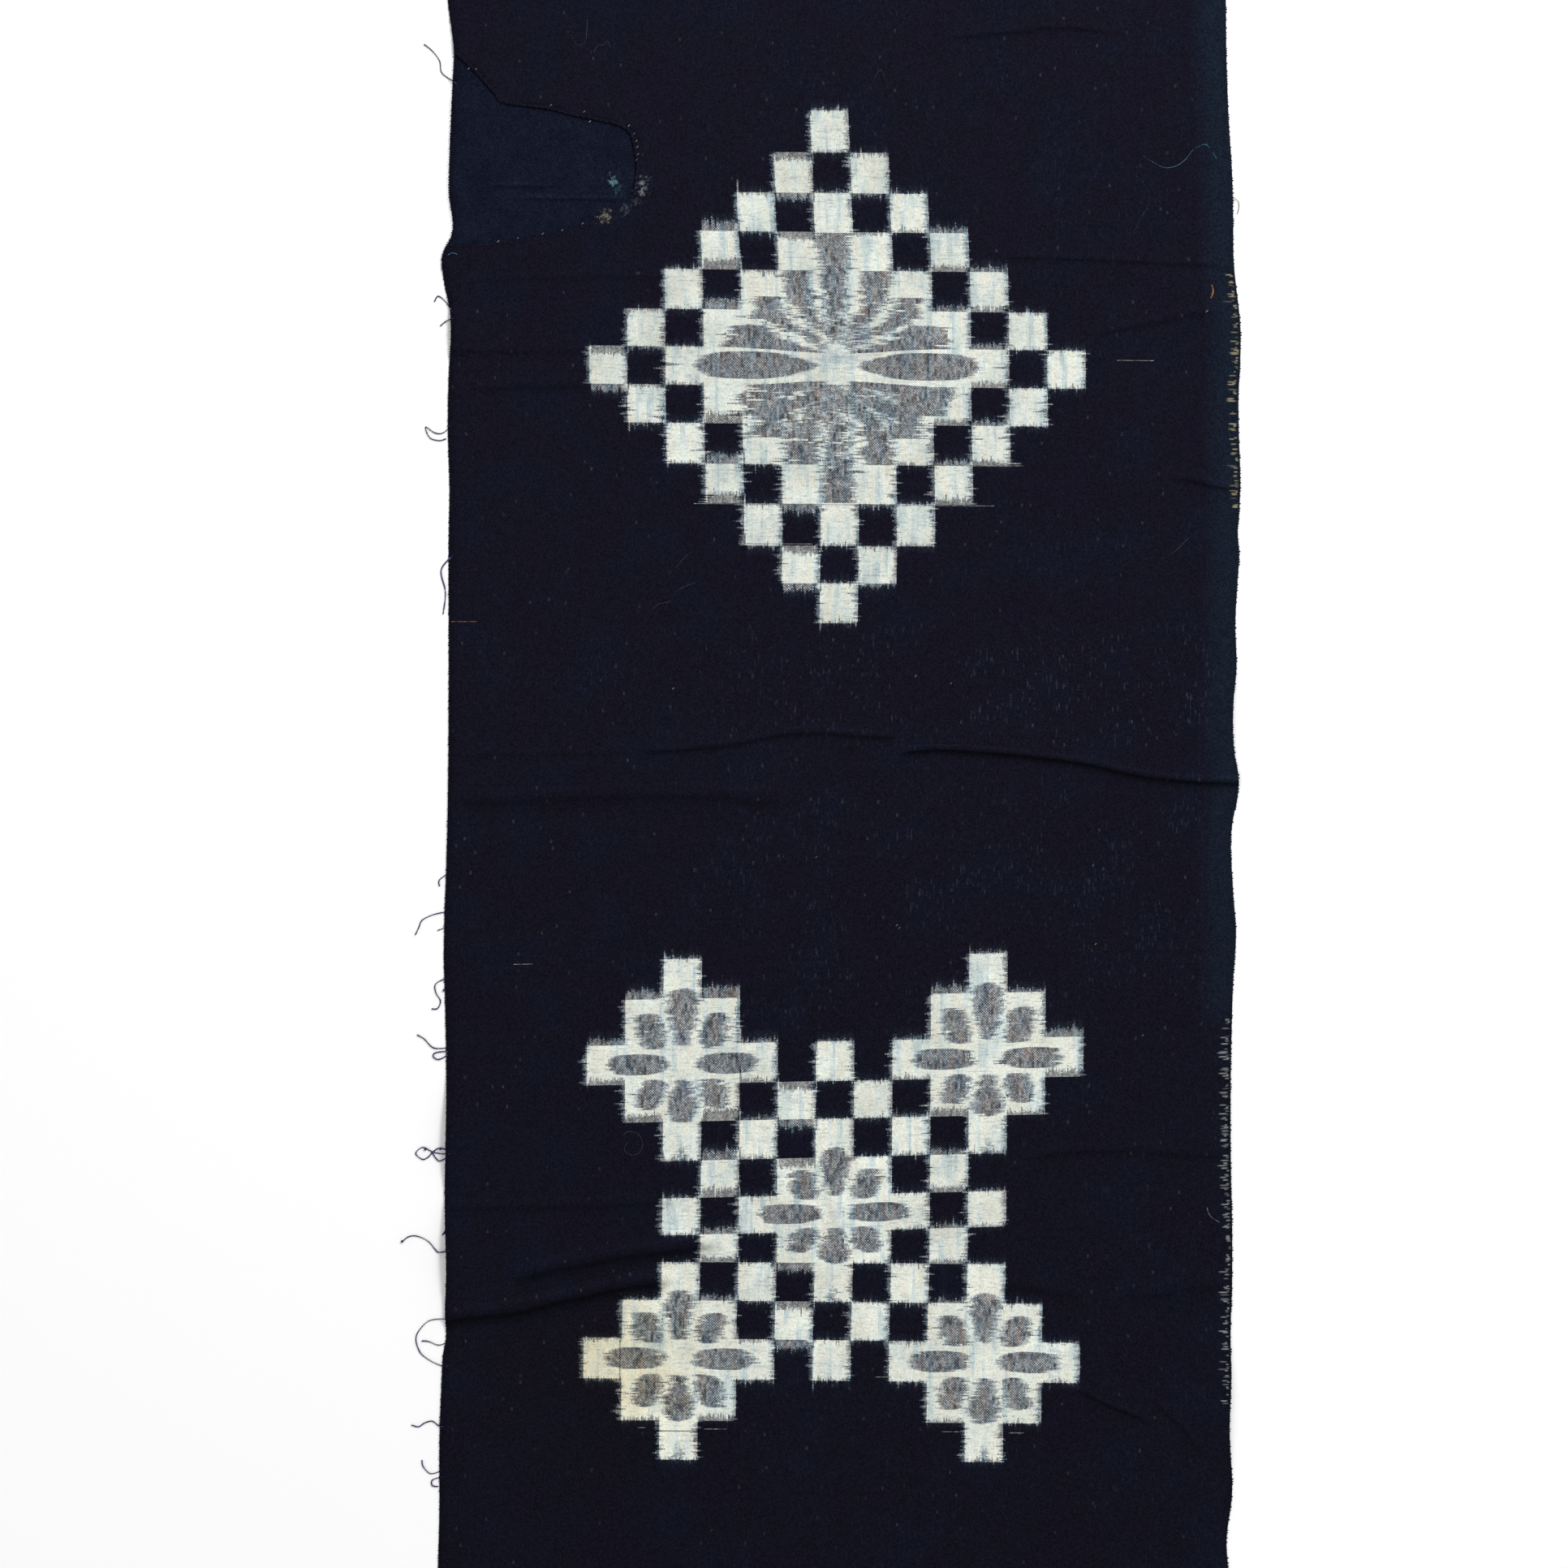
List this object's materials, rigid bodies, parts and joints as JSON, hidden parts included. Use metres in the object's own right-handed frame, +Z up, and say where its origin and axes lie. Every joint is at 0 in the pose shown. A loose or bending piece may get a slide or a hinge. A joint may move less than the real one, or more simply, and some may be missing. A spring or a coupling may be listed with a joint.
{
  "type": "ikat woven cloth",
  "caption": "Narrow length of hand-woven indigo cotton in double ikat with checkers and flowers, creased, lying flat, with a mended edge and loose thread tails.",
  "frame": {"origin": "middle of the cloth's outline, thread tails included, on the surface it lies on", "axes": "+Z up, out of the figured face; +Y along the cloth's length, towards the end that the mend is near; +X across the width, towards the selvedge opposite the mend"},
  "size_m": [0.3619, 0.728, 0.0034],
  "materials": {
    "ikat_cotton": "matt hand-woven cotton, deep indigo with white and grey double ikat figures",
    "patch_cotton": "matt plain-woven indigo cotton, slightly bluer and thinner",
    "sewing_thread": "spun dark indigo sewing thread with a purple cast"
  },
  "bodies": {
    "root": {"cloth": "ikat_cotton", "mend_patch": "patch_cotton", "edge_threads": "sewing_thread"}
  },
  "joints": []
}
